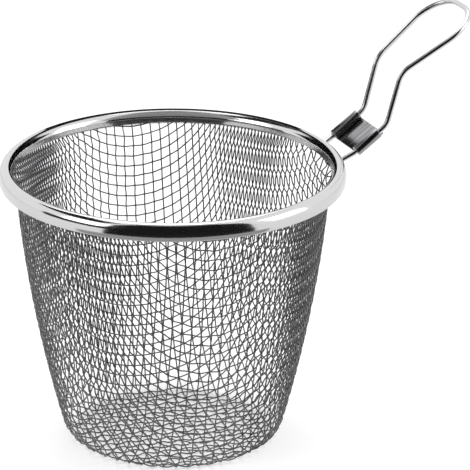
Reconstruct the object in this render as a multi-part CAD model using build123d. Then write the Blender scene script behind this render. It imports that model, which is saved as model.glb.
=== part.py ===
from build123d import *
from math import atan2, cos, dist, hypot, pi, radians, sin, tan
import os

# Hot pot strainer: a deep cup of woven wire held in a rolled metal rim, with a bent wire loop handle.
# Millimetres, Z up. The origin is the middle of the cup's flat underside, and the handle points along +X.

# Rim: sheet metal rolled to a hollow ring, open below for the cloth
rim_outer_diameter = 120.0
cup_height = 100.0
rim_width = 5.0
rim_crown = 3.2
rim_sheet = 0.5
rim_outer_drop = 3.65
rim_inner_drop = 0.8
rim_foot_radius = 0.9
rim_lip_rise = 30.0
edge_clearance = 0.15

# Woven cloth: plain weave of round wire, drawn to a cup
wire_diameter = 0.5
wire_pitch = 3.5
flat_radius = 31.5
corner_radius = 7.1
wall_inset = 6.16
wall_bow = 10.5

# The weave is built at every fifth wire: bands with a ridge, and gaps between them
ridge_every = 5
band_edge_half = 0.2
band_share = 0.1
wall_stops = 2
cut_gap_least = 10.0
cut_gap_most = 30.0

# Cloth edge: it swings out of the wall and up into the rim
edge_start_drop = 5.4
edge_swing_end_drop = 0.8
edge_top_rise = 0.85
edge_overlap = 0.8

# Handle wire
handle_wire_diameter = 2.0
leg_spacing_at_rim = 15.8
leg_spacing = 18.0
leg_spacing_at_grip = 18.9
stub_foot_drop = 2.4
stub_angle = 25.0
stub_run = 7.1
clip_angle = 34.4
clip_leg_run = 15.0
rise_angle = 74.5
rise_run = 19.5
grip_angle = 33.4
grip_run = 33.2
stub_bend_radius = 6.0
lower_bend_radius = 6.9
upper_bend_radius = 8.75
loop_spread_angle = 10.9
loop_end_radius = 11.3

# Clip: a strip with both edges curled round the legs
clip_sheet = 0.8
clip_clearance = 0.1
clip_length = 11.6
clip_past_stub = 0.8
clip_seam = 0.3
clip_notch = 1.5

# Derived sizes
rim_radius = rim_outer_diameter / 2
rim_level = cup_height - rim_crown
rim_middle = rim_radius - rim_width / 2
cloth_half = wire_diameter
wire_radius = handle_wire_diameter / 2
lobe_radius = wire_radius + clip_clearance + clip_sheet
edge_radius = rim_radius - rim_width + rim_sheet + edge_clearance + cloth_half
lip_reach = rim_radius - edge_radius - cloth_half - edge_clearance
edge_start = rim_level - edge_start_drop
edge_swing_end = rim_level - edge_swing_end_drop
edge_top = rim_level + edge_top_rise
wall_end = rim_radius - wall_inset
bow_turn = radians(wall_bow)


# Rim ring: crown, outer leg, slanted lip under the cloth's edge, and a short inner leg

def rim_ring():
    a = rim_width / 2
    b = rim_crown
    t = rim_sheet
    lip = radians(rim_lip_rise)
    foot = -rim_outer_drop
    end = (a - lip_reach, foot + lip_reach * tan(lip))
    inner_foot = foot + t / cos(lip) + t * tan(lip)

    def at(x, z):
        return (rim_middle + x, rim_level + z)

    with BuildPart() as ring:
        with BuildSketch(Plane.XZ) as section:
            with BuildLine():
                Line(at(-a, -rim_inner_drop), at(-a, 0))
                EllipticalCenterArc(at(0, 0), a, b, start_angle=0, arc_size=180)
                Line(at(a, 0), at(a, foot))
                Line(at(a, foot), at(*end))
                Line(at(*end), at(end[0] + t * sin(lip), end[1] + t * cos(lip)))
                Line(at(end[0] + t * sin(lip), end[1] + t * cos(lip)), at(a - t, inner_foot))
                Line(at(a - t, inner_foot), at(a - t, 0))
                EllipticalCenterArc(at(0, 0), a - t, b - t, start_angle=0, arc_size=180)
                Line(at(t - a, 0), at(t - a, -rim_inner_drop))
                Line(at(t - a, -rim_inner_drop), at(-a, -rim_inner_drop))
            make_face()
            fillet(section.vertices().sort_by_distance(at(a, foot))[0], rim_foot_radius)
            fillet(section.vertices().sort_by_distance(at(a - t, inner_foot))[0], rim_foot_radius - t)
        revolve(axis=Axis.Z)
    return ring.part


# Cup wall: flat base, round corner, and a shallow arc that ends where the cloth edge starts

def corner_end(turned):
    """Radius and height where the corner hands over to the wall."""
    return flat_radius + corner_radius * sin(turned), cloth_half + corner_radius * (1 - cos(turned))


def wall_heading():
    """The corner's turn that brings the bowed wall from its end to the cloth edge."""
    low, high = 0.2, pi / 2
    for _ in range(60):
        turned = (low + high) / 2
        r, z = corner_end(turned)
        if atan2(edge_start - z, wall_end - r) > turned + bow_turn / 2:
            low = turned
        else:
            high = turned
    return turned


corner_turn = wall_heading()
wall_start = corner_end(corner_turn)
wall_radius = (edge_start - wall_start[1]) / (cos(corner_turn) - cos(corner_turn + bow_turn))
corner_run = corner_radius * corner_turn


def cup_section(s):
    """Radius, height and heading of the cloth's middle at a run s from the middle of the base."""
    if s <= flat_radius:
        return s, cloth_half, 0.0
    if s <= flat_radius + corner_run:
        h = (s - flat_radius) / corner_radius
        return flat_radius + corner_radius * sin(h), cloth_half + corner_radius * (1 - cos(h)), h
    turn = (s - flat_radius - corner_run) / wall_radius
    bent = min(turn, bow_turn)
    h = corner_turn + bent
    beyond = (turn - bent) * wall_radius
    r = wall_start[0] + wall_radius * (sin(h) - sin(corner_turn)) + beyond * cos(h)
    z = wall_start[1] + wall_radius * (cos(corner_turn) - cos(h)) + beyond * sin(h)
    return r, z, h


def on_cup(s, turn):
    r, z, h = cup_section(s)
    return (r * cos(turn), r * sin(turn), z)


def outward(s, turn):
    r, z, h = cup_section(s)
    return (sin(h) * cos(turn), sin(h) * sin(turn), -cos(h))


# Net: square meshes whose sides keep their length when the cloth is drawn over the cup

def misfit(place, first, second):
    here = on_cup(*place)
    return dist(here, first) - wire_pitch, dist(here, second) - wire_pitch


def next_knot(first, second, s, turn):
    """The place on the cup that lies one mesh side from both neighbours, by Newton steps."""
    tiny = 1e-5
    for _ in range(40):
        e = misfit((s, turn), first, second)
        if abs(e[0]) + abs(e[1]) < 1e-9:
            break
        es = misfit((s + tiny, turn), first, second)
        et = misfit((s, turn + tiny), first, second)
        a = (es[0] - e[0]) / tiny
        b = (et[0] - e[0]) / tiny
        c = (es[1] - e[1]) / tiny
        d = (et[1] - e[1]) / tiny
        det = a * d - b * c
        ds = (b * e[1] - d * e[0]) / det
        dt = (c * e[0] - a * e[1]) / det
        hold = min(1.0, 2.0 / max(abs(ds), 1e-9), 0.1 / max(abs(dt), 1e-9))
        s += ds * hold
        turn += dt * hold
    return s, turn


def quarter_net(count):
    place = {}
    for i in range(count + 1):
        place[i, 0] = (i * wire_pitch, 0.0)
        place[0, i] = (i * wire_pitch, pi / 2)
    for i in range(1, count + 1):
        for j in range(1, count + 1):
            left = on_cup(*place[i - 1, j])
            right = on_cup(*place[i, j - 1])
            back = on_cup(*place[i - 1, j - 1])
            x = left[0] + right[0] - back[0]
            y = left[1] + right[1] - back[1]
            s = (place[i - 1, j][0] + place[i, j - 1][0]) / 2 + wire_pitch / 2
            if hypot(x, y) < flat_radius:
                s = hypot(x, y)
            place[i, j] = next_knot(left, right, s, atan2(y, x))
    return place


cloth_run = flat_radius + corner_run + wall_radius * bow_turn
mesh_count = int(cloth_run / (wire_pitch * ridge_every)) + 2
quarter = quarter_net(mesh_count * ridge_every)


def knot(a, b):
    """Place, outward normal and run of the crossing of wires a and b, counted from the middle."""
    s, turn = quarter[abs(a), abs(b)]
    p = on_cup(s, turn)
    n = outward(s, turn)
    x = -1 if a < 0 else 1
    y = -1 if b < 0 else 1
    return (p[0] * x, p[1] * y, p[2]), (n[0] * x, n[1] * y, n[2]), s


def blend(corners, u, v):
    """Point and normal inside four crossings."""
    shares = ((1 - u) * (1 - v), u * (1 - v), u * v, (1 - u) * v)
    return tuple(
        tuple(sum(w * c[part][k] for w, c in zip(shares, corners)) for k in range(3))
        for part in (0, 1)
    )


def lifted(spot, height):
    p, n = spot[0], spot[1]
    return (p[0] + n[0] * height, p[1] + n[1] * height, p[2] + n[2] * height)


def is_bent(a, b, c, d):
    """A ridge is followed wire by wire where it runs round the corner of the cup."""
    low, high = sorted((knot(a, b)[2], knot(c, d)[2]))
    return low < flat_radius + corner_run - 1 and high > flat_radius + 1


def skin(triangles, corners, inside_out):
    for k in range(1, len(corners) - 1):
        tri = (corners[0], corners[k], corners[k + 1])
        triangles.append(tri[::-1] if inside_out else tri)


def mesh_ring(i, j):
    """The outline of one mesh as wire numbers, with the side each point belongs to."""
    n = ridge_every
    corners = [(0, 0), (n, 0), (n, n), (0, n)]
    ring = []
    for k in range(4):
        a, b = corners[k]
        c, d = corners[(k + 1) % 4]
        steps = n if is_bent(i * n + a, j * n + b, i * n + c, j * n + d) else wall_stops
        for m in range(steps):
            ring.append((a + (c - a) * m / steps, b + (d - b) * m / steps, k))
    return ring


def mesh_heights(i, j):
    n = ridge_every
    return [knot((i + a) * n, (j + b) * n)[0][2] for a in (0, 1) for b in (0, 1)]


def has_gap(i, j):
    """A whole mesh has a gap, and so has a wide one of which enough lies below the cloth's edge."""
    low = min(mesh_heights(i, j))
    high = max(mesh_heights(i, j))
    return high < edge_start or (low < edge_start - cut_gap_least and high - low < cut_gap_most)


def mesh_cell(i, j, free_sides, triangles):
    """Two skins of one mesh: ridge slopes down to a web, or down to the walls of a gap."""
    n = ridge_every
    is_open = has_gap(i, j)
    ring = mesh_ring(i, j)
    flat = max(knot(i * n + a, j * n + b)[2] for a in (0, n) for b in (0, n)) <= flat_radius + 1e-6

    def spot(a, b):
        fa = min(int(a), n - 1)
        fb = min(int(b), n - 1)
        near = [knot(i * n + fa + p, j * n + fb + q) for p, q in ((0, 0), (1, 0), (1, 1), (0, 1))]
        return blend(near, a - fa, b - fb)

    def toward_middle(a):
        return min(max(a, band_share * n), (1 - band_share) * n)

    tops = {}
    feet = {}
    for side in (1, -1):
        low = cloth_half if flat and side == 1 else band_edge_half
        tops[side] = [lifted(spot(a, b), side * cloth_half) for a, b, k in ring]
        feet[side] = [lifted(spot(toward_middle(a), toward_middle(b)), side * low) for a, b, k in ring]
        out = side == 1
        middle = lifted(spot(n / 2, n / 2), side * low)
        for k in range(len(ring)):
            m = (k + 1) % len(ring)
            skin(triangles, (tops[side][k], tops[side][m], feet[side][m], feet[side][k]), out)
            if not is_open:
                skin(triangles, (feet[side][k], feet[side][m], middle), out)
    for k in range(len(ring)):
        m = (k + 1) % len(ring)
        if is_open:
            skin(triangles, (feet[-1][k], feet[-1][m], feet[1][m], feet[1][k]), False)
        if ring[k][2] in free_sides:
            skin(triangles, (tops[-1][m], tops[-1][k], tops[1][k], tops[1][m]), False)


def woven_net():
    span = range(-mesh_count, mesh_count)
    meshes = {(i, j) for i in span for j in span if min(mesh_heights(i, j)) < edge_start + edge_overlap}
    triangles = []
    for i, j in sorted(meshes):
        beside = ((i, j - 1), (i + 1, j), (i, j + 1), (i - 1, j))
        free_sides = [k for k in range(4) if beside[k] not in meshes]
        mesh_cell(i, j, free_sides, triangles)
    faces = [Face(Wire.make_polygon([Vector(*p) for p in tri], close=True)) for tri in triangles]
    return Solid(Shell(faces))


# Cloth edge: an outward arc, an equal arc back to upright, and a short run up into the rim

def edge_swing():
    """Heading between the two arcs, and their radius."""
    out = edge_radius - wall_end
    up = edge_swing_end - edge_start
    start = corner_turn + bow_turn
    low, high = radians(5), start
    for _ in range(60):
        h = (low + high) / 2
        ratio = (sin(start) + 1 - 2 * sin(h)) / (2 * cos(h) - cos(start))
        if ratio > out / up:
            low = h
        else:
            high = h
    return h, up / (2 * cos(h) - cos(start))


def edge_side(offset):
    """One side of the edge band, the offset counted away from the axis."""
    start = corner_turn + bow_turn
    middle, radius = edge_swing()
    first = (wall_end + offset * sin(start), edge_start - offset * cos(start))
    turn_out = (start - middle) * 180 / pi
    turn_back = (pi / 2 - middle) * 180 / pi
    one = JernArc(first, (cos(start), sin(start)), radius - offset, -turn_out)
    two = JernArc(one @ 1, one % 1, radius + offset, turn_back)
    three = Line(two @ 1, ((two @ 1).X, edge_top))
    return one, two, three


def edge_band():
    with BuildPart() as band:
        with BuildSketch(Plane.XZ):
            with BuildLine():
                inner = edge_side(-cloth_half)
                outer = edge_side(cloth_half)
                Line(inner[2] @ 1, outer[2] @ 1)
                Line(inner[0] @ 0, outer[0] @ 0)
            make_face()
        revolve(axis=Axis.Z)
        split(bisect_by=Plane.XY.offset(edge_start + edge_overlap / 4))
    return band.part


def mesh_basket():
    wall = split(woven_net(), bisect_by=Plane.XY.offset(edge_start + edge_overlap), keep=Keep.BOTTOM)
    return wall + edge_band()


# Handle: one wire, from the rim out through the clip, up, out again, round the loop and back

def handle_wire():
    corners = [Vector(rim_radius - handle_wire_diameter / 2, leg_spacing_at_rim / 2, rim_level - stub_foot_drop)]
    spacing = (leg_spacing, leg_spacing, leg_spacing_at_grip)
    angles = (stub_angle, clip_angle, rise_angle)
    runs = (stub_run, clip_leg_run, rise_run)
    for angle, run, apart in zip(angles, runs, spacing):
        last = corners[-1]
        ahead = run * cos(radians(angle))
        corners.append(Vector(last.X + ahead, apart / 2, last.Z + run * sin(radians(angle))))
    last = corners[-1]
    grip = radians(grip_angle)
    end_offset = last.Y + grip_run * tan(radians(loop_spread_angle))
    corners.append(Vector(last.X + grip_run * cos(grip), end_offset, last.Z + grip_run * sin(grip)))
    corners += [Vector(c.X, -c.Y, c.Z) for c in reversed(corners)]
    bends = [stub_bend_radius, lower_bend_radius, upper_bend_radius, loop_end_radius]
    path = bent_wire(corners, bends + bends[::-1])
    with BuildPart() as wire:
        with BuildSketch(Plane(origin=path @ 0, z_dir=path % 0)):
            Circle(wire_radius)
        sweep(path=path)
        with Locations((0, 0, rim_level)):
            Cylinder(rim_radius, cup_height, mode=Mode.SUBTRACT)
    return wire.part


def bent_wire(corners, bends):
    """Straight runs between corners, joined by an arc at each."""
    edges = []
    start = corners[0]
    for k, radius in enumerate(bends):
        before = (corners[k + 1] - corners[k]).normalized()
        after = (corners[k + 2] - corners[k + 1]).normalized()
        back = radius * tan(radians(before.get_angle(after)) / 2)
        bend_start = corners[k + 1] - before * back
        bend_end = corners[k + 1] + after * back
        edges.append(Edge.make_line(start, bend_start))
        edges.append(Edge.make_tangent_arc(bend_start, before, bend_end))
        start = bend_end
    edges.append(Edge.make_line(start, corners[-1]))
    return Wire(edges)


# Clip: a folded strip, its web below the legs and its edges curled up round them

def handle_clip():
    stub = radians(stub_angle)
    lean = radians(clip_angle)
    x = rim_radius - handle_wire_diameter / 2 + stub_run * cos(stub) + clip_past_stub * cos(lean)
    z = rim_level - stub_foot_drop + stub_run * sin(stub) + clip_past_stub * sin(lean)
    start = Plane(origin=(x, 0, z), x_dir=(0, 1, 0), z_dir=(cos(lean), 0, sin(lean)))
    legs = [(-leg_spacing / 2, 0), (leg_spacing / 2, 0)]
    web_middle = clip_sheet / 2 - lobe_radius
    seam_reach = leg_spacing / 2 - lobe_radius + clip_sheet / 2
    with BuildPart() as clip:
        with BuildSketch(start):
            with Locations((0, web_middle)):
                Rectangle(leg_spacing, clip_sheet)
            with Locations(*legs):
                Circle(lobe_radius)
            with Locations(*legs):
                Circle(lobe_radius - clip_sheet, mode=Mode.SUBTRACT)
            with Locations((-seam_reach, web_middle + (clip_sheet + clip_seam) / 2)):
                Rectangle(clip_sheet * 1.6, clip_seam, mode=Mode.SUBTRACT)
            with Locations((seam_reach, web_middle + (clip_sheet + clip_seam) / 2)):
                Rectangle(clip_sheet * 1.6, clip_seam, mode=Mode.SUBTRACT)
        extrude(amount=clip_length)
        with BuildSketch(start.offset(clip_length)):
            with Locations((-leg_spacing / 2 - lobe_radius, 0)):
                Rectangle(4 * lobe_radius, 4 * lobe_radius)
        extrude(amount=-clip_notch, mode=Mode.SUBTRACT)
    return clip.part


nodes = {
    "rim_ring": rim_ring(),
    "mesh_basket": mesh_basket(),
    "handle_wire": handle_wire(),
    "handle_clip": handle_clip(),
}

os.makedirs("parts", exist_ok=True)
for name, solid in nodes.items():
    solid.label = name
    export_step(solid, f"parts/{name}.step", write_pcurves=False)
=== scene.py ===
from math import atan2, cos, hypot, pi, radians, sin, sqrt, tan

import bmesh
import bpy
from mathutils import Matrix, Vector


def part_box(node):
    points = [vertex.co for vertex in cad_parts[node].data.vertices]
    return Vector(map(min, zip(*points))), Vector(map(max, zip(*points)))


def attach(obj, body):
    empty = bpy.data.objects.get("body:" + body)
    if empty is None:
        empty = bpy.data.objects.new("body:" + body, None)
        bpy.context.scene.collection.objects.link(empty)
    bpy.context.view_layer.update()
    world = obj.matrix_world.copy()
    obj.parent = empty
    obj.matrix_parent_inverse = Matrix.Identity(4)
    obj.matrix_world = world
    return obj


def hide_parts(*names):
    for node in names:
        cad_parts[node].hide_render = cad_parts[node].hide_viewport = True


bl_info = {
    "name": "Hot pot strainer",
    "version": (1, 0, 0),
    "blender": (4, 5, 0),
    "location": "View3D > Sidebar > Strainer",
    "description": "Woven wire strainer cup with a rolled rim and a bent wire handle, round a fixed frame",
    "category": "Object",
}

MM = 0.001
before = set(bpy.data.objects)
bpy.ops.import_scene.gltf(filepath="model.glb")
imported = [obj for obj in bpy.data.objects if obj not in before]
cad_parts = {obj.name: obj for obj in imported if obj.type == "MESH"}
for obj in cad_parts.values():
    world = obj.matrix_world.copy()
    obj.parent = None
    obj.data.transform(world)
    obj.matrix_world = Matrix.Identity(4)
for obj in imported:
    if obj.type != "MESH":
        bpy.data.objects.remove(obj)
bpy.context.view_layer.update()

# The frame's own sizes, which the pieces are fitted to
RIM_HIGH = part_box("rim_ring")[1]
RIM_RADIUS = RIM_HIGH[1]
RIM_TOP = RIM_HIGH[2]
CLOTH_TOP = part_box("mesh_basket")[1][2]

# How finely the round stretches are divided
CROWN_STEPS = 20
BEND_STEPS = 6
RIM_STEPS = 192
LOBE_STEPS = 28
ARC_STEPS = 14
HANDLE_SIDES = 20
CLOTH_SIDES = 6

# Edges that turn more than these angles stay sharp
RIM_SHARP = radians(50)
CLIP_SHARP = radians(40)

# Where a wire of the cloth passes from one side to the other, as shares of the way between two crossings
CROSS_OVER = (0.25, 0.75)

# How the cloth's section and its crossings are searched for: tries, lowest angles, steps and limits
SECTION_TRIES = 60
LEAST_CORNER_TURN = 0.2
LEAST_SWING = radians(5)
KNOT_TRIES = 40
KNOT_MISFIT = 1e-9
KNOT_RUN_STEP = 2e-6
KNOT_ANGLE_STEP = 4e-5
KNOT_TURN_LIMIT = 0.1
TINY = 1e-12

# Clip: how far a curled edge turns, how far in from the leg it still counts as curled, in wire radii,
# and its softened corners
CURL_TURN = radians(303)
CURL_REACH = 2.5
CORNER_SHARE = 0.18
CORNER_SEGMENTS = 3
CORNER_ANGLE = radians(50)

# The photograph's camera: place, the point it looks at, lens and roll
CAMERA_PLACE = Vector((-0.5288, -1.2029, 0.5799))
CAMERA_AIM = Vector((0.0165, -0.0157, 0.0766))
CAMERA_LENS = 310.7
CAMERA_SENSOR = 36.0
CAMERA_CLIP = (0.05, 30.0)
CAMERA_ROLL = radians(-0.236)

# Studio: the floor and how much whiter the camera sees it, and the surround's light on the pieces
FLOOR_RADIUS = 6.0
FLOOR_SIDES = 64
FLOOR_LIFT = 0.28
WORLD_LIGHT = 0.7

# Soft lights: name, place, width, height and power
LIGHT_AIM = Vector((0.0, 0.0, 0.05))
SOFT_LIGHTS = (
    ("top_softbox", Vector((0.3, 0.9, 2.2)), 1.6, 1.6, 14.0),
    ("left_softbox", Vector((-2.2, -0.2, 0.9)), 1.2, 1.6, 14.0),
    ("right_softbox", Vector((1.8, -1.2, 0.9)), 1.2, 1.4, 12.0),
)

# Studio screens, which only the metal shows: name, colour, middle azimuth, half spread, and the profile as
# radius and height
VIEW_AZIMUTH = atan2(CAMERA_PLACE.y, CAMERA_PLACE.x)
SCREEN_STEPS = 24
STUDIO_SCREENS = (
    (
        "black_felt_front", "#202020", VIEW_AZIMUTH + radians(4), radians(46),
        ((0.2, 0.002), (0.8, 0.002), (0.8, 0.4), (0.32, 0.9)),
    ),
    ("black_felt_left", "#262626", radians(-178), radians(24), ((0.8, 0.002), (0.8, 0.24))),
    ("black_felt_left_high", "#202020", radians(152), radians(42), ((0.55, 0.6), (0.33, 0.8))),
    (
        "black_felt_behind", "#141414", VIEW_AZIMUTH + pi, radians(36),
        ((0.09, 0.101), (0.068, 0.118), (0.062, 0.134)),
    ),
    ("grey_felt_over", "#888888", VIEW_AZIMUTH + radians(4), radians(60), ((0.32, 0.9), (0.03, 1.0))),
    ("grey_card_upright", "#A0A0A0", VIEW_AZIMUTH, radians(80), ((0.055, 0.13), (0.055, 0.4))),
    ("grey_card_flat", "#A0A0A0", VIEW_AZIMUTH, radians(60), ((0.075, 0.003), (0.2, 0.003))),
)


# Sizes and colours that a user would change

def length(name, text, millimetres):
    return bpy.props.FloatProperty(
        name=name, description=text, default=millimetres * MM, unit="LENGTH", subtype="DISTANCE", precision=5
    )


def turn(name, text, angle):
    return bpy.props.FloatProperty(
        name=name, description=text, default=radians(angle), unit="ROTATION", subtype="ANGLE"
    )


def tint(name, text, value):
    return bpy.props.StringProperty(name=name, description=text, default=value)


class StrainerRimSizes(bpy.types.PropertyGroup):
    width: length("Width", "Width of the rolled section", 5.0)
    crown: length("Crown", "Height of the crown above the widest level", 3.2)
    sheet: length("Sheet", "Thickness of the rolled sheet", 0.5)
    outer_drop: length("Outer drop", "How far the outer leg goes down", 3.65)
    inner_drop: length("Inner drop", "How far the inner leg goes down", 0.8)
    foot_radius: length("Foot radius", "Bend between the outer leg and the lip", 0.9)
    lip_rise: turn("Lip rise", "Slope of the lip under the cloth's edge", 30.0)
    belly: length("Belly", "How far the outer leg curves in at its foot", 0.5)
    edge_clearance: length("Clearance", "Between the cloth's edge and the rim", 0.15)


class StrainerClothSizes(bpy.types.PropertyGroup):
    wire: length("Wire", "Diameter of the woven wire", 0.5)
    pitch: length("Pitch", "Distance between neighbouring wires", 3.5)
    flat_radius: length("Flat radius", "Radius of the flat base", 31.5)
    corner_radius: length("Corner radius", "Radius between base and wall", 7.1)
    wall_inset: length("Wall inset", "From the rim's outside to the top of the wall", 6.16)
    wall_bow: turn("Wall bow", "How far the wall turns up to the rim", 10.5)
    bowl_flat: length("Bowl flat", "Flat radius of the rounder bowl that the cloth is first drawn to", 4.0)
    bowl_corner: length("Bowl corner", "Radius round that flat", 34.0)
    weave_turn: turn("Weave turn", "How far the wires are turned from the handle's direction", -8.5)
    edge_start_drop: length("Edge start", "Where the cloth swings out, below the rim's widest level", 5.4)
    swing_end_drop: length("Edge upright", "Where the cloth is upright again, below that level", 0.8)


class StrainerHandleSizes(bpy.types.PropertyGroup):
    wire: length("Wire", "Diameter of the handle wire", 2.0)
    spacing_at_rim: length("Spacing at rim", "Distance between the legs at the rim", 15.8)
    spacing: length("Spacing", "Distance between the legs in the clip", 18.0)
    spacing_at_grip: length("Spacing at grip", "Distance between the legs where the grip starts", 18.9)
    foot_drop: length("Foot drop", "Where the legs meet the rim, below its widest level", 2.4)
    stub_angle: turn("Stub angle", "Slope of the legs from rim to clip", 25.0)
    stub_run: length("Stub run", "Length from rim to clip", 7.1)
    clip_angle: turn("Clip angle", "Slope of the legs in the clip", 34.4)
    clip_leg_run: length("Clip leg run", "Length of the legs through the clip", 15.0)
    rise_angle: turn("Rise angle", "Slope of the steep part", 74.5)
    rise_run: length("Rise run", "Length of the steep part", 19.5)
    grip_angle: turn("Grip angle", "Slope of the loop", 33.4)
    grip_run: length("Grip run", "Length of the loop", 33.2)
    loop_spread: turn("Loop spread", "How far each leg spreads in the loop", 10.9)
    stub_bend: length("Stub bend", "Bend radius before the clip", 6.0)
    lower_bend: length("Lower bend", "Bend radius after the clip", 6.9)
    upper_bend: length("Upper bend", "Bend radius where the grip starts", 8.75)
    end_bend: length("End bend", "Bend radius at the loop's end", 11.3)


class StrainerClipSizes(bpy.types.PropertyGroup):
    sheet: length("Sheet", "Thickness of the folded strip", 0.8)
    clearance: length("Clearance", "Between the strip and the legs", 0.1)
    length_along: length("Length", "Length along the legs", 11.6)
    past_stub: length("Past stub", "Where it starts, past the bend of the stub", 0.8)
    notch: length("Notch", "How much shorter one curled edge is", 1.5)


class StrainerColours(bpy.types.PropertyGroup):
    rim: tint("Rim", "Polished stainless steel of the rim", "#DADADB")
    cloth: tint("Cloth", "Drawn stainless wire of the cloth", "#7E7E80")
    handle: tint("Handle", "Polished stainless wire of the handle", "#D8D8DA")
    clip: tint("Clip", "Brushed stainless strip of the clip", "#B4B4B6")
    clip_streak: tint("Clip streak", "Darker brush streaks of the clip", "#808082")
    floor: tint("Floor", "Matt white studio floor", "#F4F4F4")


SIZE_GROUPS = {
    "strainer_rim": StrainerRimSizes,
    "strainer_cloth": StrainerClothSizes,
    "strainer_handle": StrainerHandleSizes,
    "strainer_clip": StrainerClipSizes,
    "strainer_colours": StrainerColours,
}


# Materials

def linear(hex_colour):
    """An sRGB hex value as the linear colour that a shader takes."""
    channels = [int(hex_colour[k:k + 2], 16) / 255 for k in (1, 3, 5)]
    return tuple(c / 12.92 if c <= 0.04045 else ((c + 0.055) / 1.055) ** 2.4 for c in channels) + (1.0,)


def add_node(tree, kind, settings=None, inputs=None, links=None):
    """Adds a node with its settings, its socket values and the sockets that feed it."""
    node = tree.nodes.new(kind)
    for key, value in (settings or {}).items():
        setattr(node, key, value)
    for key, value in (inputs or {}).items():
        node.inputs[key].default_value = value
    for key, socket in (links or {}).items():
        tree.links.new(socket, node.inputs[key])
    return node


def new_material(name):
    material = bpy.data.materials.new(name)
    material.use_nodes = True
    material.node_tree.nodes.clear()
    return material, material.node_tree


def finish_material(tree, shader):
    add_node(tree, "ShaderNodeOutputMaterial", links={"Surface": shader.outputs[0]})


def polished_stainless_rim():
    """Roll-formed, buffed stainless steel: sharp bands of light and dark, with faint roll marks."""
    # Real roll marks are finer than the render shows, so they are drawn 2.5 mm wide
    material, tree = new_material("polished_stainless_rim")
    place = add_node(tree, "ShaderNodeTexCoord")
    marks = add_node(
        tree, "ShaderNodeTexNoise", inputs={"Scale": 1 / (2.5 * MM), "Detail": 2.0},
        links={"Vector": place.outputs["Object"]},
    )
    rough = add_node(
        tree, "ShaderNodeMapRange", inputs={"To Min": 0.08, "To Max": 0.14},
        links={"Value": marks.outputs["Fac"]},
    )
    shader = add_node(
        tree, "ShaderNodeBsdfPrincipled",
        inputs={"Base Color": linear(colours().rim), "Metallic": 1.0},
        links={"Roughness": rough.outputs["Result"]},
    )
    finish_material(tree, shader)
    return material


def drawn_stainless_cloth():
    """Drawn and woven stainless wire: dark round wires with a thin bright line along each."""
    material, tree = new_material("drawn_stainless_cloth")
    place = add_node(tree, "ShaderNodeTexCoord")
    tone = add_node(
        tree, "ShaderNodeTexNoise", inputs={"Scale": 1 / (6 * MM), "Detail": 1.0},
        links={"Vector": place.outputs["Object"]},
    )
    rough = add_node(
        tree, "ShaderNodeMapRange", inputs={"To Min": 0.2, "To Max": 0.34},
        links={"Value": tone.outputs["Fac"]},
    )
    shader = add_node(
        tree, "ShaderNodeBsdfPrincipled",
        inputs={"Base Color": linear(colours().cloth), "Metallic": 1.0},
        links={"Roughness": rough.outputs["Result"]},
    )
    finish_material(tree, shader)
    return material


def polished_stainless_wire():
    """Drawn and polished stainless wire: near black flanks with a narrow bright line."""
    # Real polishing marks are finer than the render shows, so they are drawn 1.5 mm wide
    material, tree = new_material("polished_stainless_wire")
    place = add_node(tree, "ShaderNodeTexCoord")
    marks = add_node(
        tree, "ShaderNodeTexNoise", inputs={"Scale": 1 / (1.5 * MM), "Detail": 2.0},
        links={"Vector": place.outputs["Object"]},
    )
    rough = add_node(
        tree, "ShaderNodeMapRange", inputs={"To Min": 0.12, "To Max": 0.2},
        links={"Value": marks.outputs["Fac"]},
    )
    shader = add_node(
        tree, "ShaderNodeBsdfPrincipled",
        inputs={"Base Color": linear(colours().handle), "Metallic": 1.0},
        links={"Roughness": rough.outputs["Result"]},
    )
    finish_material(tree, shader)
    return material


def brushed_stainless_clip(along):
    """Folded stainless strip, brushed along the legs: soft grey web with lengthwise streaks."""
    # Real brush lines are finer than the render shows, so they are drawn 0.5 mm wide and 14 mm long
    material, tree = new_material("brushed_stainless_clip")
    place = add_node(tree, "ShaderNodeTexCoord")
    angle = atan2(along.z, along.x)
    turned = add_node(
        tree, "ShaderNodeMapping", {"vector_type": "TEXTURE"},
        {"Rotation": (0.0, -angle, 0.0), "Scale": (14 * MM, 0.5 * MM, 0.5 * MM)},
        {"Vector": place.outputs["Object"]},
    )
    streaks = add_node(
        tree, "ShaderNodeTexNoise", inputs={"Scale": 1.0, "Detail": 3.0},
        links={"Vector": turned.outputs["Vector"]},
    )
    rough = add_node(
        tree, "ShaderNodeMapRange", inputs={"To Min": 0.1, "To Max": 0.26},
        links={"Value": streaks.outputs["Fac"]},
    )
    contrast = add_node(
        tree, "ShaderNodeMapRange", inputs={"From Min": 0.35, "From Max": 0.65},
        links={"Value": streaks.outputs["Fac"]},
    )
    shade = add_node(
        tree, "ShaderNodeMix", {"data_type": "RGBA"},
        {"A": linear(colours().clip_streak), "B": linear(colours().clip)},
        {"Factor": contrast.outputs["Result"]},
    )
    shader = add_node(
        tree, "ShaderNodeBsdfPrincipled", inputs={"Metallic": 1.0},
        links={"Roughness": rough.outputs["Result"], "Base Color": shade.outputs["Result"]},
    )
    finish_material(tree, shader)
    return material


# Shared helpers

def sizes(key):
    return getattr(bpy.context.scene, key)


def colours():
    return sizes("strainer_colours")


def rim_level():
    return RIM_TOP - sizes("strainer_rim").crown


def put(piece, node, material):
    """Gives the piece its finish and its body, and hides the frame node that it stands for."""
    piece.data.materials.clear()
    piece.data.materials.append(material)
    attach(piece, "root")
    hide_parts(node)


def mesh_object(name, shape):
    """Keeps a bmesh as an object at the origin, smooth shaded and with its faces outwards."""
    bmesh.ops.recalc_face_normals(shape, faces=shape.faces)
    for face in shape.faces:
        face.smooth = True
    mesh = bpy.data.meshes.new(name)
    shape.to_mesh(mesh)
    shape.free()
    piece = bpy.data.objects.new(name, mesh)
    bpy.context.scene.collection.objects.link(piece)
    return piece


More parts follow.
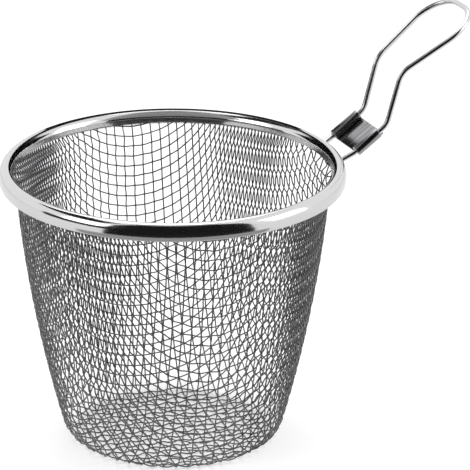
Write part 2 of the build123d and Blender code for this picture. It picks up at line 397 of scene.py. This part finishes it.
def wires_object(name, runs, radius, sides):
    """Round wires along the given runs of points, as one mesh with closed ends."""
    curve = bpy.data.curves.new(name, "CURVE")
    curve.dimensions = "3D"
    curve.bevel_depth = radius
    curve.bevel_resolution = sides // 2 - 2
    curve.use_fill_caps = True
    for run in runs:
        spline = curve.splines.new("POLY")
        spline.points.add(len(run) - 1)
        for point, place in zip(spline.points, run):
            point.co = (place[0], place[1], place[2], 1.0)
        spline.use_smooth = True
    holder = bpy.data.objects.new(name, curve)
    mesh = bpy.data.meshes.new_from_object(holder)
    mesh.name = name
    bpy.data.objects.remove(holder)
    bpy.data.curves.remove(curve)
    piece = bpy.data.objects.new(name, mesh)
    bpy.context.scene.collection.objects.link(piece)
    return piece


def rounded(points, radii, steps):
    """An open outline whose corners are rounded with the given radii."""
    outline = [points[0]]
    for k in range(1, len(points) - 1):
        corner = Vector(points[k])
        radius = radii[k - 1]
        if radius == 0:
            outline.append(points[k])
            continue
        outline += arc_points(Vector(points[k - 1]), corner, Vector(points[k + 1]), radius, steps)
    outline.append(points[-1])
    return outline


def arc_points(before, corner, after, radius, steps):
    """Points of the arc that rounds a corner between two straight runs."""
    back = (before - corner).normalized()
    ahead = (after - corner).normalized()
    half = back.angle(ahead) / 2
    centre = corner + (back + ahead).normalized() * (radius / sin(half))
    first = (corner + back * (radius / tan(half)) - centre).normalized()
    last = (corner + ahead * (radius / tan(half)) - centre).normalized()
    return [centre + first.slerp(last, m / steps) * radius for m in range(steps + 1)]


# Rim

def edge_radius():
    """Radius of the middle of the cloth's edge inside the rim."""
    rim = sizes("strainer_rim")
    return RIM_RADIUS - rim.width + rim.sheet + rim.edge_clearance + sizes("strainer_cloth").wire


def rim_section():
    """The rolled section as radius and height: round the outside, then back along the inside."""
    rim = sizes("strainer_rim")
    middle = RIM_RADIUS - rim.width / 2
    level = rim_level()
    half = rim.width / 2
    sheet = rim.sheet
    slope = rim.lip_rise
    foot = level - rim.outer_drop
    tip = edge_radius() + sizes("strainer_cloth").wire + rim.edge_clearance
    tip_height = foot + (RIM_RADIUS - tip) * tan(slope)
    inner_foot = foot + sheet / cos(slope) + sheet * tan(slope)
    outline = [(middle - half, level - rim.inner_drop)]
    for k in range(CROWN_STEPS + 1):
        a = pi * (1 - k / CROWN_STEPS)
        outline.append((middle + half * cos(a), level + rim.crown * sin(a)))
    leg = [
        (RIM_RADIUS, level - rim.inner_drop),
        (RIM_RADIUS, foot),
        (tip, tip_height),
        (tip + sheet * sin(slope), tip_height + sheet * cos(slope)),
        (RIM_RADIUS - sheet, inner_foot),
        (RIM_RADIUS - sheet, level - rim.inner_drop),
    ]
    outline += rounded(leg, (rim.foot_radius, 0, 0, rim.foot_radius - sheet), BEND_STEPS)
    for k in range(CROWN_STEPS + 1):
        a = pi * k / CROWN_STEPS
        outline.append((middle + (half - sheet) * cos(a), level + (rim.crown - sheet) * sin(a)))
    outline.append((middle - half + sheet, level - rim.inner_drop))
    return [bellied(r, z, tip) for r, z in outline]


def bellied(r, z, tip):
    """The outer leg curves gently in towards its foot, and the lip's tip stays in place."""
    rim = sizes("strainer_rim")
    share = max(0.0, rim_level() - z) / rim.outer_drop
    outside = max(0.0, r - tip) / (RIM_RADIUS - tip)
    return r - rim.belly * share ** 2 * outside, z


class STRAINER_OT_rim(bpy.types.Operator):
    """Rolls the rim's section round the cup's mouth"""

    bl_idname = "strainer.rim"
    bl_label = "Rim"

    def execute(self, context):
        shape = bmesh.new()
        corners = [shape.verts.new((r, 0.0, z)) for r, z in rim_section()]
        edges = [shape.edges.new((a, b)) for a, b in zip(corners, corners[1:] + corners[:1])]
        bmesh.ops.spin(
            shape, geom=corners + edges, cent=(0, 0, 0), axis=(0, 0, 1),
            angle=2 * pi, steps=RIM_STEPS, use_merge=True,
        )
        piece = mesh_object("rim_rolled_tube", shape)
        piece.data.set_sharp_from_angle(angle=RIM_SHARP)
        put(piece, "rim_ring", polished_stainless_rim())
        return {"FINISHED"}


# Cloth

class ClothSection:
    """The section that the wires follow, as runs from the middle of the base that each turn evenly."""

    def __init__(self, flat, corner):
        cloth = sizes("strainer_cloth")
        level = rim_level()
        self.start_z = cloth.wire
        start_height = level - cloth.edge_start_drop
        wall_end = RIM_RADIUS - cloth.wall_inset
        # The corner turns until the wall's chord leads to where the edge starts to swing out
        low, high = LEAST_CORNER_TURN, pi / 2
        for _ in range(SECTION_TRIES):
            turned = (low + high) / 2
            r = flat + corner * sin(turned)
            z = cloth.wire + corner * (1 - cos(turned))
            if atan2(start_height - z, wall_end - r) > turned + cloth.wall_bow / 2:
                low = turned
            else:
                high = turned
        heading = turned + cloth.wall_bow
        wall_radius = (start_height - z) / (cos(turned) - cos(heading))
        up = level - cloth.swing_end_drop - start_height
        out = edge_radius() - wall_end
        # The edge swings out until it ends upright at its radius inside the rim
        low, high = LEAST_SWING, heading
        for _ in range(SECTION_TRIES):
            middle = (low + high) / 2
            if (sin(heading) + 1 - 2 * sin(middle)) / (2 * cos(middle) - cos(heading)) > out / up:
                low = middle
            else:
                high = middle
        swing = up / (2 * cos(middle) - cos(heading))
        self.runs = (
            (flat, 0.0),
            (corner * turned, turned),
            (wall_radius * cloth.wall_bow, cloth.wall_bow),
            (swing * (heading - middle), middle - heading),
            (swing * (pi / 2 - middle), pi / 2 - middle),
            (CLOTH_TOP - level + cloth.swing_end_drop, 0.0),
        )
        self.full_run = sum(run for run, turned in self.runs)

    def at(self, s):
        """Radius, height and heading at a run from the middle of the base."""
        r, z, heading = 0.0, self.start_z, 0.0
        for k, (run, turned) in enumerate(self.runs):
            part = s if k == len(self.runs) - 1 else min(s, run)
            if turned == 0.0:
                r += part * cos(heading)
                z += part * sin(heading)
            else:
                radius = run / turned
                new = heading + part / radius
                r += radius * (sin(new) - sin(heading))
                z += radius * (cos(heading) - cos(new))
                heading = new
            s -= part
            if s <= 0.0:
                break
        return r, z, heading

    def place(self, s, angle):
        r, z, heading = self.at(s)
        return Vector((r * cos(angle), r * sin(angle), z))

    def outward(self, s, angle):
        r, z, heading = self.at(s)
        return Vector((sin(heading) * cos(angle), sin(heading) * sin(angle), -cos(heading)))


def next_knot(section, first, second, s, angle, pitch):
    """The place on the cup that lies one mesh side from both neighbours, by Newton steps."""
    a1, a2, a3 = first
    b1, b2, b3 = second

    def misfit(s, angle):
        r, z, heading = section.at(s)
        x = r * cos(angle)
        y = r * sin(angle)
        return (
            sqrt((x - a1) ** 2 + (y - a2) ** 2 + (z - a3) ** 2) - pitch,
            sqrt((x - b1) ** 2 + (y - b2) ** 2 + (z - b3) ** 2) - pitch,
        )

    for _ in range(KNOT_TRIES):
        e = misfit(s, angle)
        if abs(e[0]) + abs(e[1]) < KNOT_MISFIT:
            break
        es = misfit(s + KNOT_RUN_STEP, angle)
        ea = misfit(s, angle + KNOT_ANGLE_STEP)
        a = (es[0] - e[0]) / KNOT_RUN_STEP
        b = (ea[0] - e[0]) / KNOT_ANGLE_STEP
        c = (es[1] - e[1]) / KNOT_RUN_STEP
        d = (ea[1] - e[1]) / KNOT_ANGLE_STEP
        det = a * d - b * c
        ds = (b * e[1] - d * e[0]) / det
        da = (c * e[0] - a * e[1]) / det
        hold = min(1.0, pitch / max(abs(ds), TINY), KNOT_TURN_LIMIT / max(abs(da), TINY))
        s += ds * hold
        angle += da * hold
    return s, angle


def quarter_net(section, pitch):
    """Crossings of one quarter: square meshes whose sides keep their length when drawn over the bowl."""
    flat = sizes("strainer_cloth").bowl_flat
    count = int(section.full_run / pitch) + 1
    places = {}
    for i in range(count + 1):
        places[i, 0] = (i * pitch, 0.0)
        places[0, i] = (i * pitch, pi / 2)
    for i in range(1, count + 1):
        for j in range(1, count + 1):
            before = [places.get(key) for key in ((i - 1, j), (i, j - 1), (i - 1, j - 1))]
            if None in before or min(before[0][0], before[1][0]) > section.full_run:
                continue
            left, right, back = (section.place(*place) for place in before)
            guess = left + right - back
            s = (before[0][0] + before[1][0]) / 2 + pitch / 2
            if hypot(guess.x, guess.y) < flat:
                s = hypot(guess.x, guess.y)
            places[i, j] = next_knot(section, left, right, s, atan2(guess.y, guess.x), pitch)
    return places, count


def crossing(section, places, a, b):
    """Run, place and outward normal of the crossing of wires a and b, counted from the middle."""
    place = places.get((abs(a), abs(b)))
    if place is None:
        return None
    s, angle = place
    spot = section.place(s, angle)
    out = section.outward(s, angle)
    x = -1 if a < 0 else 1
    y = -1 if b < 0 else 1
    return s, Vector((spot.x * x, spot.y * y, spot.z)), Vector((out.x * x, out.y * y, out.z))


def woven_run(section, places, count, line, along_x, lift):
    """The points of one wire, two near each crossing, where it lies outside or inside the other wire."""
    stations = []
    for k in range(-count, count + 1):
        a, b = (k, line) if along_x else (line, k)
        found = crossing(section, places, a, b)
        if found:
            over = lift if (a + b) % 2 == 0 else -lift
            stations.append((*found, over))
    points = []
    for near, far in zip(stations, stations[1:]):
        if min(near[0], far[0]) > section.full_run:
            continue
        first, last = CROSS_OVER
        if far[0] > section.full_run:
            last = (section.full_run - near[0]) / (far[0] - near[0])
        if near[0] > section.full_run:
            first = 1 - (section.full_run - far[0]) / (near[0] - far[0])
        for share, over in ((first, near[3]), (last, far[3])):
            if first < last:
                out = near[2].lerp(far[2], share).normalized()
                points.append(near[1].lerp(far[1], share) + out * over)
    return points


class STRAINER_OT_cloth(bpy.types.Operator):
    """Weaves the cloth's wires and draws them over the cup"""

    bl_idname = "strainer.cloth"
    bl_label = "Cloth"

    def execute(self, context):
        cloth = sizes("strainer_cloth")
        section = ClothSection(cloth.flat_radius, cloth.corner_radius)
        bowl = ClothSection(cloth.bowl_flat, cloth.bowl_corner)
        pressed = section.full_run / bowl.full_run
        places, count = quarter_net(bowl, cloth.pitch / sqrt(pressed))
        places = {key: (s * pressed, angle) for key, (s, angle) in places.items()}
        turned = Matrix.Rotation(cloth.weave_turn, 3, "Z")
        steel = drawn_stainless_cloth()
        for name, along_x, lift in (
            ("cloth_warp_wires", True, cloth.wire / 2),
            ("cloth_weft_wires", False, -cloth.wire / 2),
        ):
            runs = []
            for line in range(-count, count + 1):
                points = woven_run(section, places, count, line, along_x, lift)
                if len(points) > 2:
                    runs.append([turned @ point for point in points])
            piece = wires_object(name, runs, cloth.wire / 2, CLOTH_SIDES)
            put(piece, "mesh_basket", steel)
        return {"FINISHED"}


# Handle

def handle_corners():
    """Corners of the bent wire from the rim to the loop's end, on the +Y side."""
    handle = sizes("strainer_handle")
    place = Vector((RIM_RADIUS - handle.wire / 2, handle.spacing_at_rim / 2, rim_level() - handle.foot_drop))
    corners = [place]
    for slope, run, spacing in (
        (handle.stub_angle, handle.stub_run, handle.spacing),
        (handle.clip_angle, handle.clip_leg_run, handle.spacing),
        (handle.rise_angle, handle.rise_run, handle.spacing_at_grip),
    ):
        place = Vector((place.x + run * cos(slope), spacing / 2, place.z + run * sin(slope)))
        corners.append(place)
    spread = handle.grip_run * tan(handle.loop_spread)
    slope = handle.grip_angle
    corners.append(place + Vector((handle.grip_run * cos(slope), spread, handle.grip_run * sin(slope))))
    return corners


def bent_points(corners, bends):
    """Points of a wire of straight runs joined by arcs."""
    points = [corners[0]]
    for k, radius in enumerate(bends):
        points += arc_points(*corners[k:k + 3], radius, ARC_STEPS)
    points.append(corners[-1])
    return points


class STRAINER_OT_handle(bpy.types.Operator):
    """Bends the handle wire from the rim, round the loop and back"""

    bl_idname = "strainer.handle"
    bl_label = "Handle"

    def execute(self, context):
        handle = sizes("strainer_handle")
        side = handle_corners()
        corners = side + [Vector((c.x, -c.y, c.z)) for c in reversed(side)]
        bends = [handle.stub_bend, handle.lower_bend, handle.upper_bend, handle.end_bend]
        points = bent_points(corners, bends + bends[::-1])
        piece = wires_object("handle_bent_wire", [points], handle.wire / 2, HANDLE_SIDES)
        trim_to_rim(piece)
        put(piece, "handle_wire", polished_stainless_wire())
        return {"FINISHED"}


def trim_to_rim(piece):
    """Moves the wire's end faces out to the rim's round face."""
    for vertex in piece.data.vertices:
        gap = RIM_RADIUS - hypot(vertex.co.x, vertex.co.y)
        if gap > 0:
            vertex.co.x = sqrt(RIM_RADIUS ** 2 - vertex.co.y ** 2)


# Clip

def clip_frame():
    """Start of the clip between the legs, and the directions along them and up from the web."""
    handle = sizes("strainer_handle")
    clip = sizes("strainer_clip")
    side = handle_corners()
    slope = handle.clip_angle
    along = Vector((cos(slope), 0.0, sin(slope)))
    start = Vector((side[1].x, 0.0, side[1].z)) + along * clip.past_stub
    return start, along, Vector((-sin(slope), 0.0, cos(slope)))


def clip_line():
    """Middle of the folded strip across the legs, from the free edge on the -Y side to the other."""
    handle = sizes("strainer_handle")
    clip = sizes("strainer_clip")
    radius = handle.wire / 2 + clip.clearance + clip.sheet / 2
    lobe = []
    for k in range(LOBE_STEPS + 1):
        a = -pi / 2 + CURL_TURN * k / LOBE_STEPS
        lobe.append((handle.spacing / 2 + radius * cos(a), radius * sin(a)))
    return [(-y, u) for y, u in reversed(lobe)] + lobe


class STRAINER_OT_clip(bpy.types.Operator):
    """Folds the strip round both legs of the handle"""

    bl_idname = "strainer.clip"
    bl_label = "Clip"

    def execute(self, context):
        clip = sizes("strainer_clip")
        start, along, up = clip_frame()
        shape = bmesh.new()
        line = [shape.verts.new(start + Vector((0, y, 0)) + up * u) for y, u in clip_line()]
        edges = [shape.edges.new(pair) for pair in zip(line, line[1:])]
        part = bmesh.ops.extrude_edge_only(shape, edges=edges)["geom"]
        moved = [g for g in part if isinstance(g, bmesh.types.BMVert)]
        bmesh.ops.translate(shape, verts=moved, vec=along * (clip.length_along - clip.notch))
        leg_y = -sizes("strainer_handle").spacing / 2
        slack = clip.sheet / 8
        rims = [
            g for g in part
            if isinstance(g, bmesh.types.BMEdge) and g.verts[0] in moved and g.verts[1] in moved
            and min(v.co.y for v in g.verts) > leg_y - slack
        ]
        web_side = [g for g in rims if not is_curled_back(g, start, up, leg_y)]
        part = bmesh.ops.extrude_edge_only(shape, edges=web_side)["geom"]
        moved = [g for g in part if isinstance(g, bmesh.types.BMVert)]
        bmesh.ops.translate(shape, verts=moved, vec=along * clip.notch)
        piece = mesh_object("clip_folded_strip", shape)
        add_modifier(piece, "SOLIDIFY", thickness=clip.sheet, offset=0.0, use_even_offset=True)
        add_modifier(
            piece, "BEVEL", affect="EDGES", width=clip.sheet * CORNER_SHARE, segments=CORNER_SEGMENTS,
            profile=0.5, material=-1, angle_limit=CORNER_ANGLE,
        )
        apply_modifiers(piece)
        piece.data.set_sharp_from_angle(angle=CLIP_SHARP)
        put(piece, "handle_clip", brushed_stainless_clip(along))
        return {"FINISHED"}


def is_curled_back(edge, start, up, leg_y):
    """True on the part of the -Y side that curls over the leg and back above the web."""
    middle = (edge.verts[0].co + edge.verts[1].co) / 2
    height = (middle - start).dot(up)
    radius = sizes("strainer_handle").wire / 2
    return middle.y < leg_y + CURL_REACH * radius and height > -radius


def add_modifier(piece, kind, **settings):
    modifier = piece.modifiers.new(kind.title(), kind)
    for key, value in settings.items():
        setattr(modifier, key, value)


def apply_modifiers(piece):
    """Bakes the piece's modifiers into its mesh."""
    bpy.context.view_layer.update()
    evaluated = piece.evaluated_get(bpy.context.evaluated_depsgraph_get())
    mesh = bpy.data.meshes.new_from_object(evaluated)
    old = piece.data
    piece.modifiers.clear()
    piece.data = mesh
    mesh.name = piece.name
    bpy.data.meshes.remove(old)


# Stage: floor, screens, lights, surround and camera

def matt_floor():
    """Matt white studio paper: white to the camera, with the object's soft shadow."""
    material, tree = new_material("matt_white_paper")
    path = add_node(tree, "ShaderNodeLightPath")
    lift = add_node(
        tree, "ShaderNodeMath", {"operation": "MULTIPLY"},
        {1: FLOOR_LIFT}, {0: path.outputs["Is Camera Ray"]},
    )
    shader = add_node(
        tree, "ShaderNodeBsdfPrincipled",
        inputs={
            "Base Color": linear(colours().floor), "Roughness": 1.0, "Specular IOR Level": 0.0,
            "Emission Color": (1.0, 1.0, 1.0, 1.0),
        },
        links={"Emission Strength": lift.outputs[0]},
    )
    finish_material(tree, shader)
    return material


def dull_screen(name, colour):
    """Dull felt or card, which polished metal shows as a dark or grey band."""
    material, tree = new_material(name)
    shader = add_node(
        tree, "ShaderNodeBsdfPrincipled",
        inputs={"Base Color": linear(colour), "Roughness": 1.0, "Specular IOR Level": 0.0},
    )
    finish_material(tree, shader)
    return material


def soft_light(name, place, width, height, power):
    light = bpy.data.lights.new(name, "AREA")
    light.shape = "RECTANGLE"
    light.size = width
    light.size_y = height
    light.energy = power
    holder = bpy.data.objects.new(name, light)
    holder.location = place
    holder.rotation_mode = "QUATERNION"
    holder.rotation_quaternion = (LIGHT_AIM - place).to_track_quat("-Z", "Y")
    holder.visible_camera = False
    bpy.context.scene.collection.objects.link(holder)


def set_world():
    """An even pale surround, white to the camera, to polished metal and through glass."""
    world = bpy.data.worlds.new("studio")
    world.use_nodes = True
    tree = world.node_tree
    tree.nodes.clear()
    path = add_node(tree, "ShaderNodeLightPath")
    seen = add_node(
        tree, "ShaderNodeMath", {"operation": "MAXIMUM"},
        links={0: path.outputs["Is Camera Ray"], 1: path.outputs["Is Glossy Ray"]},
    )
    through = add_node(
        tree, "ShaderNodeMath", {"operation": "MAXIMUM"},
        links={0: seen.outputs[0], 1: path.outputs["Is Transmission Ray"]},
    )
    strength = add_node(
        tree, "ShaderNodeMapRange", inputs={"To Min": WORLD_LIGHT, "To Max": 1.0},
        links={"Value": through.outputs[0]},
    )
    back = add_node(
        tree, "ShaderNodeBackground", inputs={"Color": (1.0, 1.0, 1.0, 1.0)},
        links={"Strength": strength.outputs["Result"]},
    )
    add_node(tree, "ShaderNodeOutputWorld", links={"Surface": back.outputs[0]})
    bpy.context.scene.world = world


def set_camera():
    """The photograph's viewpoint: a long lens from the front left, about twenty degrees up."""
    camera = bpy.data.cameras.new("photo_camera")
    camera.lens = CAMERA_LENS
    camera.sensor_width = CAMERA_SENSOR
    camera.clip_start, camera.clip_end = CAMERA_CLIP
    holder = bpy.data.objects.new("photo_camera", camera)
    toward = (CAMERA_AIM - CAMERA_PLACE).normalized()
    look = toward.to_track_quat("-Z", "Y").to_matrix()
    roll = Matrix.Rotation(CAMERA_ROLL, 3, toward)
    holder.matrix_world = Matrix.Translation(CAMERA_PLACE) @ (roll @ look).to_4x4()
    bpy.context.scene.collection.objects.link(holder)
    bpy.context.scene.camera = holder


class STRAINER_OT_stage(bpy.types.Operator):
    """Sets up the floor, the soft lights, the dark and grey screens and the camera"""

    bl_idname = "strainer.stage"
    bl_label = "Stage"

    def execute(self, context):
        shape = bmesh.new()
        bmesh.ops.create_circle(shape, cap_ends=True, segments=FLOOR_SIDES, radius=FLOOR_RADIUS)
        floor = mesh_object("studio_floor", shape)
        floor.data.materials.append(matt_floor())
        for name, colour, azimuth, spread, profile in STUDIO_SCREENS:
            screen = put_up_screen(name, azimuth, spread, profile)
            screen.data.materials.append(dull_screen(name, colour))
        for name, place, width, height, power in SOFT_LIGHTS:
            soft_light(name, place, width, height, power)
        set_world()
        set_camera()
        bpy.context.scene.view_settings.view_transform = "Standard"
        return {"FINISHED"}


def put_up_screen(name, azimuth, spread, profile):
    """A bent screen round the object, out of every picture and seen only in the metal."""
    shape = bmesh.new()
    first = Vector((cos(azimuth - spread), sin(azimuth - spread), 0.0))
    line = [shape.verts.new(first * radius + Vector((0, 0, height))) for radius, height in profile]
    edges = [shape.edges.new(pair) for pair in zip(line, line[1:])]
    bmesh.ops.spin(
        shape, geom=line + edges, cent=(0, 0, 0), axis=(0, 0, 1), angle=2 * spread, steps=SCREEN_STEPS,
    )
    piece = mesh_object(name, shape)
    piece.visible_camera = False
    piece.visible_diffuse = False
    piece.visible_shadow = False
    return piece


# Sidebar panel

OPERATORS = (
    STRAINER_OT_rim,
    STRAINER_OT_cloth,
    STRAINER_OT_handle,
    STRAINER_OT_clip,
    STRAINER_OT_stage,
)


class STRAINER_PT_panel(bpy.types.Panel):
    """Lists the strainer's pieces and their sizes"""

    bl_idname = "STRAINER_PT_panel"
    bl_label = "Strainer"
    bl_space_type = "VIEW_3D"
    bl_region_type = "UI"
    bl_category = "Strainer"

    def draw(self, context):
        for operator in OPERATORS:
            self.layout.operator(operator.bl_idname)
        for key, group in SIZE_GROUPS.items():
            box = self.layout.box()
            for field in group.__annotations__:
                box.prop(getattr(context.scene, key), field)


def register():
    for key, group in SIZE_GROUPS.items():
        bpy.utils.register_class(group)
        setattr(bpy.types.Scene, key, bpy.props.PointerProperty(type=group))
    for item in OPERATORS + (STRAINER_PT_panel,):
        bpy.utils.register_class(item)


def unregister():
    for item in reversed(OPERATORS + (STRAINER_PT_panel,)):
        bpy.utils.unregister_class(item)
    for key, group in SIZE_GROUPS.items():
        delattr(bpy.types.Scene, key)
        bpy.utils.unregister_class(group)


def main():
    register()
    bpy.ops.strainer.rim()
    bpy.ops.strainer.cloth()
    bpy.ops.strainer.handle()
    bpy.ops.strainer.clip()
    bpy.ops.strainer.stage()


if __name__ == "__main__":
    main()
